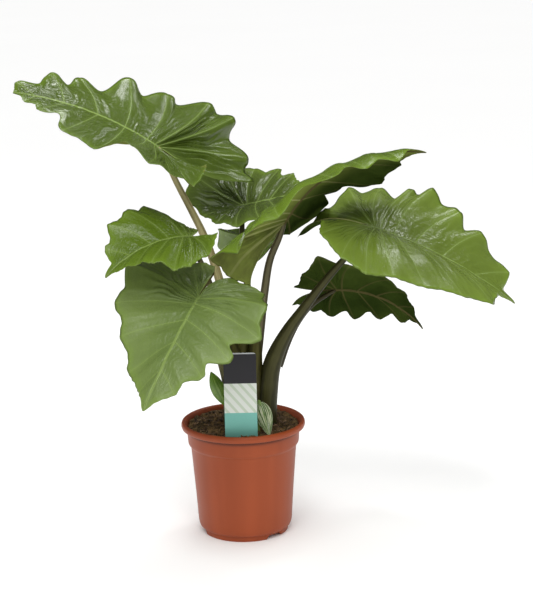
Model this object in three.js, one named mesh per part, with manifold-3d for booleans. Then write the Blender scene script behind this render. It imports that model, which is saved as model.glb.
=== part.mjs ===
// A potted alocasia: a nursery pot filled with peat, a short crown of leaf sheaths, seven large
// arrow-shaped leaves on long stalks, two small leaves of an offset and a card label in the peat.
// Millimetres, +Z up. The origin is under the centre of the pot, and the plant's front looks along -Y.
import * as THREE from 'three';
import { mergeVertices } from 'three/addons/utils/BufferGeometryUtils.js';
import Module from 'manifold-3d';

const wasm = await Module();
wasm.setup();

// ---- driving dimensions -------------------------------------------------------------------------
const GAP = 0.3;                  // clearance between touching pieces

const POT = {
  height: 193, lipRadius: 105, wall: 2.2, sides: 36,
  bandRadius: 95.5, bandFoot: 157, bodyTop: 89.5, bodyFoot: 79,
  footRadius: 73, footHeight: 10, footWall: 6, padRadius: 30, floor: 8,
  drainRadius: 48, drainHole: 5, drains: 6,
  arches: 3, archWidth: 34, archHeight: 6.5, archTurn: -47,
};
const SOIL = { level: 183, lump: 3, sides: 24, rings: 7 };
const LABEL = { width: 53.5, thickness: 1, top: 330, foot: 160, corner: 5, y: -80, middle: -2 };

const BLADE = {
  thickness: 0.9, rib: 3.6, ribHalfWidth: 3.5, hub: 6, tipHalfWidth: 1,
  rowsPerVein: 3, columns: 5, foldStart: 15, lobeBulge: 0.12, drawnTo: 0.3,
};
const STALK = { sides: 10, steps: 12 };

// Where the side veins leave the midrib, as shares of its length, from the basal lobes to the tip.
const SMALL_LEAF = [0, 0, 0, 0.05, 0.2, 0.4, 0.65];
const LARGE_LEAF = [0, 0, 0, 0.02, 0.08, 0.24, 0.43, 0.66, 0.85];
const STEEP_LEAF = [0, 0, 0, 0.02, 0.06, 0.16, 0.32, 0.52, 0.74];
const BROAD_LEAF = [0, 0, 0, 0, 0.03, 0.12, 0.26, 0.45, 0.68];

// Each leaf: the place where its stalk joins the blade, the heading and climb of the midrib there, its
// droop to the tip and the droop of the basal lobes (degrees over one midrib length). Each half has the
// rise of the blade beside the midrib (degrees), its roll-over (degrees in 100 mm), the wave that lifts
// the margin between two veins (mm), and for each side vein the angle from the tip, the reach in mm, an
// extra rise in degrees and how far the margin is drawn in after it, as a share of the way to the next
// vein. The stalk is a list of places with the radius there, from the blade down.
const LEAVES = {
  top_left: {
    at: [-131, 20, 658], heading: 178, climb: 35, roll: 0,
    droop: 27, back: 24, length: 253, origins: LARGE_LEAF,
    left: { rise: -8, curl: -2, wave: 3, veins: [[131, 119, 41, -0.05], [125, 147, 9, 0.05],
      [105, 166, 8, 0.1], [93, 171, 7, 0.05], [81, 154, 9, 0.1], [79, 125, -12, 0], [66, 102, -14, 0.4],
      [57, 62, -9, 0.2], [62, 31, -21, 0.1]] },
    right: { rise: 34, curl: 3, wave: -14, veins: [[152, 177, 8, 0.12], [134, 183, -1, 0.25],
      [113, 183, 5, 0.02], [101, 176, 1, 0.26], [86, 149, -7, 0.26], [75, 125, -1, 0.3],
      [59, 104, -10, 0.3], [60, 70, 9, 0.2], [34, 46, 11, 0.05]] },
    stalk: [[-131, 20, 658, 4], [-117, 22, 634, 4.6], [-102, 24, 599, 5], [-78, 26, 549, 5.8],
      [-60, 26, 510, 6.4], [-43, 24, 461, 7], [-27, 18, 397, 8], [-17, 10, 321, 9], [-10, 4, 250, 9]],
  },
  mid_left: {
    at: [-80, -75, 524], heading: 199, climb: 2, roll: 0,
    droop: 48, back: 20, length: 154, origins: SMALL_LEAF,
    left: { rise: 4, curl: 28, wave: 3, veins: [[134, 55, 30, -0.02], [103, 71, -15, 0.02],
      [74, 101, -11, 0.02], [61, 106, -12, 0.15], [51, 89, -3, 0.1], [47, 68, -2, 0.1],
      [39, 43, -2, 0.06]] },
    right: { rise: 26, curl: 14, wave: -4, veins: [[106, 66, -27, 0.02], [96, 106, -19, 0],
      [82, 110, -8, 0.02], [72, 101, 9, 0.22], [65, 90, 24, 0.15], [62, 81, 27, 0.2],
      [59, 46, 18, 0.2]] },
    stalk: [[-80, -75, 524, 3.4], [-71, -44, 494, 4], [-59, -12, 458, 5], [-41, -5, 400, 6],
      [-24, -8, 330, 7], [-12, -12, 260, 8]],
  },
  front_left: {
    at: [-66, -125, 432], heading: -124, climb: -39, roll: 0,
    droop: 11, back: 33, length: 210, origins: SMALL_LEAF,
    left: { rise: -6, curl: 10, wave: 3, veins: [[150, 64, 1, 0.08], [120, 108, -8, 0.15],
      [95, 125, 8, 0.12], [76, 137, 0, 0.55], [63, 116, -1, 0.25], [55, 89, -1, 0.22],
      [48, 55, -2, 0.06]] },
    right: { rise: -7, curl: 1, wave: 3, veins: [[168, 85, -25, -0.05], [143, 112, 0, -0.02],
      [101, 146, 25, 0.2], [76, 137, 19, 0.18], [62, 113, 14, 0.15], [48, 93, -5, 0.05],
      [38, 52, -18, 0.08]] },
    stalk: [[-66, -125, 432, 4], [-56, -104, 396, 4.6], [-42, -72, 346, 5.6], [-29, -42, 290, 7.5],
      [-19, -24, 235, 9]],
  },
  back: {
    at: [9, 115, 541], heading: -31, climb: 13, roll: 0,
    droop: -4, back: 2, length: 130, origins: SMALL_LEAF,
    left: { rise: 39, curl: 5, wave: 3, veins: [[162, 145, 25, 0.02], [145, 140, 22, 0.05],
      [122, 112, 10, 0.1], [102, 100, -1, 0.24], [79, 87, -5, 0.3], [59, 64, 1, 0.05],
      [49, 35, 0, 0.1]] },
    right: { rise: 2, curl: 14, wave: 3, veins: [[143, 101, 36, 0.05], [114, 87, 2, 0.08],
      [95, 89, -9, 0.06], [77, 88, -19, 0.1], [60, 92, -20, 0.1], [52, 74, -17, 0.1],
      [46, 46, -12, 0.1]] },
    stalk: [[9, 115, 541, 3.6], [6, 98, 523, 4], [5, 70, 496, 4.6], [9, 52, 452, 5.4],
      [13, 42, 400, 6.2], [13, 28, 325, 7.5], [8, 14, 255, 9]],
  },
  centre: {
    at: [77, -20, 536], heading: -16, climb: 59, roll: 0,
    droop: 65, back: -23, length: 276, origins: STEEP_LEAF,
    left: { rise: -15, curl: -14, wave: -6, veins: [[141, 205, 36, 0.05], [129, 222, 44, 0.1],
      [123, 212, 31, 0.1], [113, 188, 6, 0.3], [95, 175, -5, 0.62], [58, 92, -15, 0.1],
      [61, 142, -25, 0.25], [50, 108, -17, 0.2], [43, 56, -9, 0.1]] },
    right: { rise: 25, curl: 39, wave: 3, veins: [[142, 127, -35, 0.1], [132, 149, 4, 0.1],
      [119, 173, 26, 0.1], [104, 176, 15, 0.15], [92, 165, 13, 0.02], [89, 160, 4, 0.25],
      [64, 131, -6, 0.35], [60, 100, -18, 0.22], [54, 68, -29, 0.1]] },
    stalk: [[77, -20, 536, 4.6], [68, -18, 511, 5.2], [52, -14, 473, 6], [41, -10, 416, 6.8],
      [32, -6, 348, 7.6], [24, -4, 290, 8.5], [18, -2, 240, 9]],
  },
  right: {
    at: [224, -40, 525], heading: 1, climb: -20, roll: 0,
    droop: 20, back: 39, length: 266, origins: BROAD_LEAF,
    left: { rise: 17, curl: 3, wave: -12, veins: [[144, 158, -60, -0.08], [130, 132, -24, -0.03],
      [108, 146, 0, 0.05], [88, 166, 2, 0.3], [75, 172, 8, 0.12], [73, 168, 17, 0.06],
      [65, 149, 17, 0.27], [62, 115, 24, 0.02], [45, 80, 24, 0.2]] },
    right: { rise: 1, curl: 17, wave: -3, veins: [[149, 110, 11, 0.02], [135, 139, 0, 0.04],
      [113, 157, -4, 0.05], [95, 171, -4, 0.06], [82, 171, -1, 0.06], [70, 168, -2, 0.08],
      [59, 162, 0, 0.08], [47, 136, 0, 0.05], [49, 64, 0, 0.05]] },
    stalk: [[224, -40, 525, 3.6], [202, -37, 504, 4.2], [169, -33, 469, 5.4], [141, -28, 436, 6.6],
      [103, -20, 385, 8.7], [74, -14, 342, 11.4], [52, -9, 294, 15], [42, -3, 235, 17], [40, 0, 180, 16],
      [40, 0, 150, 14]],
  },
  lower_right: {
    at: [164, 60, 402], heading: -4, climb: 0, roll: -36,
    droop: 54, back: 25, length: 169, origins: SMALL_LEAF,
    left: { rise: 6, curl: 16, wave: 6, veins: [[143, 99, 3, -0.08], [117, 103, 3, 0.05],
      [98, 110, 0, 0.28], [77, 103, -5, 0.28], [60, 89, -8, 0.28], [47, 79, 0, 0.1], [42, 43, 6, 0.08]] },
    right: { rise: 7, curl: 10, wave: -3, veins: [[157, 80, -18, 0.1], [131, 87, -3, 0.02],
      [104, 116, 6, 0.12], [81, 103, -1, 0.02], [53, 94, 3, 0], [47, 76, 9, 0.02], [47, 42, 5, 0.15]] },
    stalk: [[164, 60, 402, 3.4], [144, 52, 393, 4], [124, 42, 383, 4.6], [97, 26, 356, 5.4],
      [79, 13, 326, 6.2], [62, 2, 284, 7]],
  },
};

// The crown's outline from the peat up, as [height, half width], how deep it is for its width, and how far
// it leans to the right for its height.
const CROWN = {
  outline: [[150, 20], [185, 27], [225, 31], [270, 32], [315, 28], [350, 21], [366, 11]],
  depth: 0.66, x: -22, lean: 0.09,
};

// The two small leaves of the offset: stalk foot, blade foot and tip, half width, how far each bows, and
// its belly, which is more than 0.8 where the blade is widest nearer the tip.
const OFFSET_LEAVES = {
  left: {
    foot: [-24, -52, 150], neck: [-27, -48, 230], tip: [-51, -42, 289], halfWidth: 12, bow: 7, belly: 1.05,
  },
  right: {
    foot: [24, -46, 150], neck: [29, -58, 240], tip: [44, -76, 186], halfWidth: 14, bow: -6, belly: 0.7,
  },
};
const OFFSET = { stalkRadius: 2.4, rows: 8, columns: 3, cup: 0.35 };

// ---- helpers ------------------------------------------------------------------------------------
const rad = THREE.MathUtils.degToRad;
const vec = (p) => new THREE.Vector3(p[0], p[1], p[2]);
const zUp = (geometry) => geometry.rotateX(Math.PI / 2);

function bare(geometry) {
  const copy = geometry.clone();
  copy.deleteAttribute('normal');
  copy.deleteAttribute('uv');
  return mergeVertices(copy, 1e-4);
}

function solid(geometry) {
  const merged = bare(geometry);
  return new wasm.Manifold(new wasm.Mesh({
    numProp: 3,
    vertProperties: new Float32Array(merged.attributes.position.array),
    triVerts: new Uint32Array(merged.index.array),
  }));
}

// The largest piece of a solid, as geometry: crumbs that a cut leaves are dropped.
function geometryOf(body) {
  const pieces = body.decompose().sort((a, b) => b.volume() - a.volume());
  const mesh = pieces[0].getMesh();
  const geometry = new THREE.BufferGeometry();
  geometry.setAttribute('position', new THREE.BufferAttribute(new Float32Array(mesh.vertProperties), 3));
  geometry.setIndex(new THREE.BufferAttribute(new Uint32Array(mesh.triVerts), 1));
  return geometry;
}

function cut(body, tools) {
  return tools.reduce((left, tool) => left.subtract(tool), body);
}

// A closed shell through a grid of points with a normal and a thickness each. Both faces are split alike.
function shell(rows, grow = 0) {
  const across = rows[0].length;
  const count = rows.length * across;
  const positions = [];
  for (const face of [1, -1]) {
    for (const row of rows) {
      for (const { point, normal, depth } of row) {
        const shift = face > 0 ? grow : -depth - grow;
        positions.push(...point.clone().addScaledVector(normal, shift).toArray());
      }
    }
  }
  const index = [];
  const quad = (a, b, c, d) => index.push(a, b, c, a, c, d);
  for (let r = 0; r + 1 < rows.length; r++) {
    for (let c = 0; c + 1 < across; c++) {
      const a = r * across + c;
      quad(a, a + across, a + across + 1, a + 1);
      quad(a + count, a + 1 + count, a + across + 1 + count, a + across + count);
    }
  }
  const rim = [];
  for (let c = 0; c < across; c++) rim.push(c);
  for (let r = 1; r < rows.length; r++) rim.push(r * across + across - 1);
  for (let c = across - 2; c >= 0; c--) rim.push((rows.length - 1) * across + c);
  for (let r = rows.length - 2; r > 0; r--) rim.push(r * across);
  rim.forEach((a, k) => {
    const b = rim[(k + 1) % rim.length];
    quad(a, b, b + count, a + count);
  });
  const geometry = new THREE.BufferGeometry();
  geometry.setAttribute('position', new THREE.Float32BufferAttribute(positions, 3));
  geometry.setIndex(index);
  return geometry;
}

// A round tapering stalk along a list of [x, y, z, radius], closed at both ends.
function tube(places, grow = 0) {
  const curve = new THREE.CatmullRomCurve3(places.map(vec), false, 'centripetal');
  const last = places.length - 1;
  const radii = new THREE.SplineCurve(places.map((p, i) => new THREE.Vector2(i / last, p[3])));
  const positions = [];
  const side = new THREE.Vector3();
  const front = new THREE.Vector3();
  for (let k = 0; k <= STALK.steps; k++) {
    const t = k / STALK.steps;
    const middle = curve.getPoint(t);
    const along = curve.getTangent(t);
    const radius = radii.getPoint(t).y + grow;
    side.set(0, 1, 0).cross(along).normalize();
    front.crossVectors(along, side);
    const longer = k === 0 ? -grow : k === STALK.steps ? grow : 0;
    middle.addScaledVector(along, longer);
    for (let s = 0; s < STALK.sides; s++) {
      const turn = (2 * Math.PI * s) / STALK.sides;
      const point = middle.clone().addScaledVector(side, radius * Math.cos(turn));
      positions.push(...point.addScaledVector(front, radius * Math.sin(turn)).toArray());
    }
  }
  const index = [];
  for (let k = 0; k < STALK.steps; k++) {
    for (let s = 0; s < STALK.sides; s++) {
      const a = k * STALK.sides + s;
      const b = k * STALK.sides + ((s + 1) % STALK.sides);
      index.push(a, b, b + STALK.sides, a, b + STALK.sides, a + STALK.sides);
    }
  }
  const end = STALK.steps * STALK.sides;
  for (let s = 1; s + 1 < STALK.sides; s++) {
    index.push(0, s + 1, s);
    index.push(end, end + s, end + s + 1);
  }
  const geometry = new THREE.BufferGeometry();
  geometry.setAttribute('position', new THREE.Float32BufferAttribute(positions, 3));
  geometry.setIndex(index);
  return geometry;
}

// ---- the leaf blade -----------------------------------------------------------------------------
// The blade's own axes at the stalk: along the midrib, out of the upper face, and to the left half.
function bladeAxes(leaf) {
  const heading = rad(leaf.heading);
  const climb = rad(leaf.climb);
  const level = Math.cos(climb);
  const along = vec([level * Math.cos(heading), level * Math.sin(heading), Math.sin(climb)]);
  const up = new THREE.Vector3(0, 0, 1).addScaledVector(along, -along.z).normalize();
  const left = new THREE.Vector3().crossVectors(up, along);
  up.applyAxisAngle(along, rad(leaf.roll));
  left.applyAxisAngle(along, rad(leaf.roll));
  return { along, up, left };
}

// The point of the blade that lies `a` along the midrib and `b` out from it, with the upper face's normal.
function bladePoint(leaf, side, a, b, extraRise, lift) {
  const { along, up, left } = bladeAxes(leaf);
  const bend = a > 0 ? -rad(leaf.droop) / leaf.length : rad(leaf.back) / leaf.length;
  const angle = bend * Math.abs(a);
  const straight = Math.abs(bend) < 1e-6;
  const run = straight ? a : Math.sin(bend * a) / bend;
  const drop = straight ? 0 : (Math.abs(a) * (1 - Math.cos(angle))) / angle || 0;
  const point = vec(leaf.at).addScaledVector(along, run).addScaledVector(up, a > 0 ? drop : -drop);
  const normal = up.clone().multiplyScalar(Math.cos(angle)).addScaledVector(along, -Math.sin(angle));
  const half = side > 0 ? leaf.left : leaf.right;
  const slope = (out) => {
    const fold = 1 - Math.exp(-out / BLADE.foldStart);
    return rad(half.rise + extraRise * fold - (half.curl * out) / 100);
  };
  const steps = 10;
  for (let k = 0; k < steps; k++) {
    const tilt = slope((b * (k + 0.5)) / steps);
    point.addScaledVector(left, (side * Math.cos(tilt) * b) / steps);
    point.addScaledVector(normal, (Math.sin(tilt) * b) / steps);
  }
  const tilt = b > 0 ? slope(b) : 0;
  const face = normal.multiplyScalar(Math.cos(tilt)).addScaledVector(left, -side * Math.sin(tilt));
  return { point: point.addScaledVector(face, lift), normal: face };
}

// The rows of one half, from the inner edge of its basal lobe to the tip. Each row runs from the midrib
// to the margin: along a vein where `between` is 0, and elsewhere to the drawn-in margin between two.
function bladeRays(leaf, side, grow) {
  const half = side > 0 ? leaf.left : leaf.right;
  const basal = leaf.origins.filter((share) => share === 0).length;
  const veins = half.veins.map(([angle, reach, rise, depth], i) => {
    const share = leaf.origins[i];
    const origin = share > 0 ? share * leaf.length : -(BLADE.hub + 3 * grow) * (1 - i / (basal - 1));
    const tip = [share * leaf.length + reach * Math.cos(rad(angle)), reach * Math.sin(rad(angle))];
    return { origin, tip, rise, depth };
  });
  veins.push({ origin: leaf.length, tip: [leaf.length, BLADE.tipHalfWidth], rise: 0 });
  const rays = [];
  for (let i = 0; i + 1 < veins.length; i++) {
    const [from, to] = [veins[i], veins[i + 1]];
    const chord = Math.hypot(to.tip[0] - from.tip[0], to.tip[1] - from.tip[1]);
    for (let k = 0; k < BLADE.rowsPerVein; k++) {
      const between = k / BLADE.rowsPerVein;
      const mix = (p, q) => p + (q - p) * between;
      const dip = Math.sin(Math.PI * between) ** 2;
      const tip = new THREE.Vector2(mix(from.tip[0], to.tip[0]), mix(from.tip[1], to.tip[1]));
      const middle = Math.max(BLADE.drawnTo * leaf.length, 0.8 * tip.x);
      const inward = new THREE.Vector2(middle - tip.x, -tip.y).normalize();
      tip.addScaledVector(inward, from.depth * chord * dip);
      rays.push({
        origin: mix(from.origin, to.origin), a: tip.x, b: Math.max(tip.y, BLADE.tipHalfWidth),
        rise: mix(from.rise, to.rise), wave: half.wave * dip, inner: i === 0 ? 1 - between : 0,
      });
    }
  }
  rays.push({ origin: leaf.length, a: leaf.length, b: BLADE.tipHalfWidth, rise: 0, wave: 0, inner: 0 });
  return rays;
}

function bladeRows(leaf, grow = 0) {
  const halves = { left: bladeRays(leaf, 1, grow), right: bladeRays(leaf, -1, grow) };
  return halves.left.map((_, r) => {
    const row = [];
    for (let c = -BLADE.columns; c <= BLADE.columns; c++) {
      const side = c < 0 ? -1 : 1;
      const ray = side > 0 ? halves.left[r] : halves.right[r];
      const reach = Math.hypot(ray.a - ray.origin, ray.b);
      const first = Math.min(BLADE.ribHalfWidth, reach / BLADE.columns) / reach;
      const n = Math.abs(c);
      const t = n === 0 ? 0 : first + ((1 - first) * (n - 1)) / (BLADE.columns - 1);
      const bulge = BLADE.lobeBulge * reach * ray.inner ** 2 * Math.sin(Math.PI * t);
      const a = ray.origin + (ray.a - ray.origin) * t - (bulge * ray.b) / reach;
      const b = Math.max(ray.b * t - (bulge * Math.abs(ray.a)) / reach, Math.min(ray.b * t, 1.2));
      const lift = ray.wave * t * t * Math.min(1, reach / 100);
      const place = bladePoint(leaf, side, a, b, ray.rise, lift);
      const fade = 1 - 0.75 * Math.max(0, ray.origin) / leaf.length;
      row.push({ ...place, depth: BLADE.thickness + (n === 0 ? BLADE.rib * fade : 0) });
    }
    return row;
  });
}

// ---- pot, peat and label ------------------------------------------------------------------------
function pot() {
  const { height: h, lipRadius: lip, wall } = POT;
  const [foot, under] = [POT.footHeight, POT.footRadius - POT.footWall];
  const [body, shoulder] = [POT.bodyFoot, POT.bandFoot];
  const [top, inner] = [POT.bodyTop, POT.bandRadius - wall];
  const outline = [
    [0, 0], [POT.padRadius, 0], [POT.padRadius + 3, POT.floor - wall], [under - 1, POT.floor - wall],
    [under, 0], [POT.footRadius, 0], [POT.footRadius, foot - 1], [body - 2, foot + 1],
    [body, foot + 6], [top, shoulder - 6], [POT.bandRadius - 1.5, shoulder], [POT.bandRadius, h - 15],
    [lip - 4, h - 12], [lip - 1, h - 10], [lip, h - 6.5], [lip - 1, h - 3], [lip - 4, h - 0.6],
    [lip - 7, h], [lip - 9.5, h - 2], [inner, h - 9], [inner - 1.5, shoulder],
    [top - wall, shoulder - 6], [body - wall, foot + 6], [body - 2 * wall, POT.floor + 2],
    [body - 4 * wall, POT.floor], [0, POT.floor],
  ];
  const profile = outline.map((p) => new THREE.Vector2(...p));
  const turned = solid(zUp(new THREE.LatheGeometry(profile, POT.sides)));
  const tools = [];
  for (let k = 0; k < POT.arches; k++) {
    const arch = new THREE.BoxGeometry(30, POT.archWidth, 2 * POT.archHeight);
    const turn = rad(POT.archTurn + (360 * k) / POT.arches);
    arch.translate(POT.footRadius + 8, 0, 0).rotateZ(turn);
    tools.push(solid(arch));
  }
  for (let k = 0; k < POT.drains; k++) {
    const drain = new THREE.CylinderGeometry(POT.drainHole, POT.drainHole, 3 * POT.floor, 12);
    const turn = (2 * Math.PI * k) / POT.drains;
    zUp(drain).translate(POT.drainRadius * Math.cos(turn), POT.drainRadius * Math.sin(turn), POT.floor);
    tools.push(solid(drain));
  }
  return cut(turned, tools);
}

// The peat fills the pot. Its surface is uneven, and it keeps a gap to the wall.
function soil() {
  const { level, lump, sides, rings } = SOIL;
  const wall = POT.wall + GAP;
  const edge = POT.bandRadius - wall - 0.8;
  const outline = [
    [0, POT.floor + GAP], [POT.bodyFoot - 4 * POT.wall - 1, POT.floor + GAP],
    [POT.bodyFoot - wall - 0.6, POT.footHeight + 7], [POT.bodyTop - wall - 0.6, POT.bandFoot - 7],
    [edge - 1.2, POT.bandFoot + 1], [edge, level - lump],
  ];
  for (let k = 0; k < rings; k++) outline.push([(edge - 3) * (1 - k / rings), level]);
  outline.push([0, level]);
  const geometry = bare(zUp(new THREE.LatheGeometry(outline.map((p) => new THREE.Vector2(...p)), sides)));
  const position = geometry.attributes.position;
  for (let i = 0; i < position.count; i++) {
    if (position.getZ(i) < level - 0.01) continue;
    const x = position.getX(i);
    const y = position.getY(i);
    const swell = Math.sin(x * 0.09 + 1) * Math.cos(y * 0.08) + 0.6 * Math.sin(x * 0.23 + y * 0.19);
    position.setZ(i, level + lump * 0.6 * swell);
  }
  return solid(geometry);
}

function label(grow = 0) {
  const { width, corner: r, top, foot } = LABEL;
  const w = width / 2 + grow;
  const shape = new THREE.Shape();
  shape.moveTo(-w, foot - grow);
  shape.lineTo(w, foot - grow);
  shape.lineTo(w, top - r);
  shape.absarc(w - r, top - r, r, 0, Math.PI / 2, false);
  shape.absarc(r - w, top - r, r, Math.PI / 2, Math.PI, false);
  shape.closePath();
  const depth = LABEL.thickness + 2 * grow;
  const card = new THREE.ExtrudeGeometry(shape, { depth, bevelEnabled: false, curveSegments: 4 });
  zUp(card.translate(0, 0, -depth / 2));
  return solid(card.translate(LABEL.middle, LABEL.y, 0));
}

// ---- crown and offset leaves --------------------------------------------------------------------
function crown(grow = 0) {
  const outline = CROWN.outline.map(([z, r]) => new THREE.Vector2(r + grow, z));
  const [foot, head] = [CROWN.outline[0][0] - grow, CROWN.outline.at(-1)[0] + grow];
  outline[0].y = foot;
  outline.at(-1).y = head;
  outline.unshift(new THREE.Vector2(0, foot));
  outline.push(new THREE.Vector2(0, head));
  const body = zUp(new THREE.LatheGeometry(outline, 24));
  const lean = new THREE.Matrix4().makeShear(0, 0, 0, 0, CROWN.lean, 0);
  return solid(body.scale(1, CROWN.depth + grow / 30, 1).applyMatrix4(lean).translate(CROWN.x, 0, 0));
}

// A small leaf: a cupped blade from its neck to its tip, fused to a thin stalk.
function offsetLeaf(leaf, grow = 0) {
  const [neck, tip] = [vec(leaf.neck), vec(leaf.tip)];
  const along = tip.clone().sub(neck);
  const across = new THREE.Vector3(0, 1, 0).cross(along).normalize();
  const face = new THREE.Vector3().crossVectors(across, along).normalize();
  const rows = [];
  for (let r = 0; r <= OFFSET.rows; r++) {
    const t = r / OFFSET.rows;
    const half = Math.max(leaf.halfWidth * Math.sin(Math.PI * t ** leaf.belly) ** 0.8, 1.2) + grow;
    const row = [];
    for (let c = -OFFSET.columns; c <= OFFSET.columns; c++) {
      const s = c / OFFSET.columns;
      const point = neck.clone().addScaledVector(along, t).addScaledVector(across, -s * half);
      point.addScaledVector(face, leaf.bow * Math.sin(Math.PI * t) - OFFSET.cup * half * s * s);
      row.push({ point, normal: face, depth: BLADE.thickness + (c === 0 ? 1 : 0) });
    }
    rows.push(row);
  }
  const inside = neck.clone().addScaledVector(along, 0.12);
  const middle = vec(leaf.foot).lerp(neck, 0.5);
  const radius = OFFSET.stalkRadius;
  const places = [[...inside.toArray(), radius * 0.7], [...neck.toArray(), radius * 0.85],
    [...middle.toArray(), radius], [...leaf.foot, radius]];
  return solid(shell(rows, grow)).add(solid(tube(places, grow)));
}

// ---- assembly -----------------------------------------------------------------------------------
const plant = new THREE.Group();
const FINISH = {
  plastic: new THREE.MeshStandardMaterial({ color: 0xa5502f, roughness: 0.5, metalness: 0 }),
  peat: new THREE.MeshStandardMaterial({ color: 0x3a261b, roughness: 1, metalness: 0 }),
  card: new THREE.MeshStandardMaterial({ color: 0x5f8f86, roughness: 0.5, metalness: 0 }),
  blade: new THREE.MeshStandardMaterial({ color: 0x4f7d26, roughness: 0.4, metalness: 0 }),
  stalk: new THREE.MeshStandardMaterial({ color: 0x6b5a3a, roughness: 0.6, metalness: 0 }),
  crown: new THREE.MeshStandardMaterial({ color: 0x4e472c, roughness: 0.7, metalness: 0 }),
};

function add(name, body, finish) {
  const mesh = new THREE.Mesh(geometryOf(body), finish);
  mesh.name = name;
  plant.add(mesh);
}

const names = Object.keys(LEAVES);
for (const name of names) add(`blade_${name}`, solid(shell(bladeRows(LEAVES[name]))), FINISH.blade);

// Each piece is cut clear of the ones before it. The thick right stalk comes first, then the crown.
const grown = names.map((name) => solid(shell(bladeRows(LEAVES[name], GAP), GAP)));
const rightStalk = solid(tube(LEAVES.right.stalk, GAP));
const crownCut = crown(GAP);
const stalkCuts = [rightStalk, crownCut];
add('petiole_right', cut(solid(tube(LEAVES.right.stalk)), grown), FINISH.stalk);
add('crown', cut(crown(), [rightStalk]), FINISH.crown);
for (const name of names.filter((other) => other !== 'right')) {
  add(`petiole_${name}`, cut(solid(tube(LEAVES[name].stalk)), [...grown, ...stalkCuts]), FINISH.stalk);
  stalkCuts.push(solid(tube(LEAVES[name].stalk, GAP)));
}

for (const [name, leaf] of Object.entries(OFFSET_LEAVES)) {
  add(`offset_leaf_${name}`, cut(offsetLeaf(leaf), [...stalkCuts, label(GAP)]), FINISH.blade);
}
const offsetCuts = Object.values(OFFSET_LEAVES).map((leaf) => offsetLeaf(leaf, GAP));

add('plant_label', label(), FINISH.card);
add('soil', cut(soil(), [rightStalk, crownCut, label(GAP), ...offsetCuts]), FINISH.peat);
add('pot', pot(), FINISH.plastic);

export default plant;
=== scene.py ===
"""A potted alocasia: seven arrow-shaped leaves on long stalks, an offset's two small leaves and a card label,
in a nursery pot filled with peat."""
import math
import random

import bmesh
import bpy
import numpy as np
from mathutils import Matrix, Vector, noise


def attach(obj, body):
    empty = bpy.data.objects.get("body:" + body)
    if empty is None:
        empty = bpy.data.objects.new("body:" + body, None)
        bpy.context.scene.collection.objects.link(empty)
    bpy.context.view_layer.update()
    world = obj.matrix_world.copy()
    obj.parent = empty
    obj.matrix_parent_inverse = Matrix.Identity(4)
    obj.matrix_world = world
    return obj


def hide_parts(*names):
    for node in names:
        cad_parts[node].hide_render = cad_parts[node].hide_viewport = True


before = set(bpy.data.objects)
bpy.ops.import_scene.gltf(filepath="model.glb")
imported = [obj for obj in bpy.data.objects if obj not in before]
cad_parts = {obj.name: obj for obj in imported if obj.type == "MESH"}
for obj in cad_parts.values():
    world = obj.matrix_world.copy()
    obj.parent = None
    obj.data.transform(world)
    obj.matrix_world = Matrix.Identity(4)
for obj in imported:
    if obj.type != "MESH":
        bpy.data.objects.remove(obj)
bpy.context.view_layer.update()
MM = 0.001

# ---- studio ----------------------------------------------------------------------------------------------
# A pale floor that runs past the picture on every side, a bright even sky, a soft sun from the upper left and
# three softboxes over the camera, overhead and behind, whose reflections lie on the leaves. The sky's own
# reflection is kept low, as from dark walls around a lit table.
LENS, SENSOR, FARTHEST = 100, 36, 100
TARGET = Vector((0.044, 0, 0.406))
DISTANCE = 2.74
PITCH, ROLL = math.radians(12.7), math.radians(1.2)
FLOOR_SIZE, FLOOR_STEPS, FLOOR_CLOUDS = 30, 8, 0.6
SKY_STRENGTH, SKY_REFLECTION = 0.78, 0.07
SUN_STRENGTH, SUN_ANGLE = 1.15, 26
SUN_PLACE, SUN_TARGET = (-0.5, -1.2, 2.4), (0, 0, 0.3)
SOFTBOX_TARGET = (0.05, 0, 0.5)
SOFTBOXES = [  # name, place and size in metres, power in watts
    ("front_softbox", (0.3, -2.2, 2.3), (0.9, 0.5), 16),
    ("top_softbox", (-0.2, 0.5, 2.2), (0.4, 0.4), 9),
    ("back_softbox", (1.1, 1.3, 2.1), (0.45, 0.45), 5),
]

scene = bpy.context.scene
scene.view_settings.view_transform = "Standard"
scene.view_settings.look = "None"

camera = bpy.data.objects.new("camera", bpy.data.cameras.new("camera"))
camera.data.lens, camera.data.sensor_width = LENS, SENSOR
camera.data.clip_end = FARTHEST
back = Vector((0, -math.cos(PITCH), math.sin(PITCH)))
tilt = Matrix.Rotation(math.pi / 2 - PITCH, 4, "X") @ Matrix.Rotation(-ROLL, 4, "Z")
camera.matrix_world = Matrix.Translation(TARGET + back * DISTANCE) @ tilt
scene.collection.objects.link(camera)
scene.camera = camera


def aim(light, place, target):
    """Puts a light in the scene and turns it towards a point."""
    lamp = bpy.data.objects.new(light.name, light)
    direction = Vector(target) - Vector(place)
    lamp.matrix_world = Matrix.Translation(place) @ direction.to_track_quat("-Z", "Y").to_matrix().to_4x4()
    scene.collection.objects.link(lamp)


sun = bpy.data.lights.new("sun", "SUN")
sun.energy, sun.angle = SUN_STRENGTH, math.radians(SUN_ANGLE)
aim(sun, SUN_PLACE, SUN_TARGET)
for name, place, size, power in SOFTBOXES:
    box_light = bpy.data.lights.new(name, "AREA")
    box_light.shape = "RECTANGLE"
    box_light.size, box_light.size_y = size
    box_light.energy = power
    aim(box_light, place, SOFTBOX_TARGET)


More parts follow.
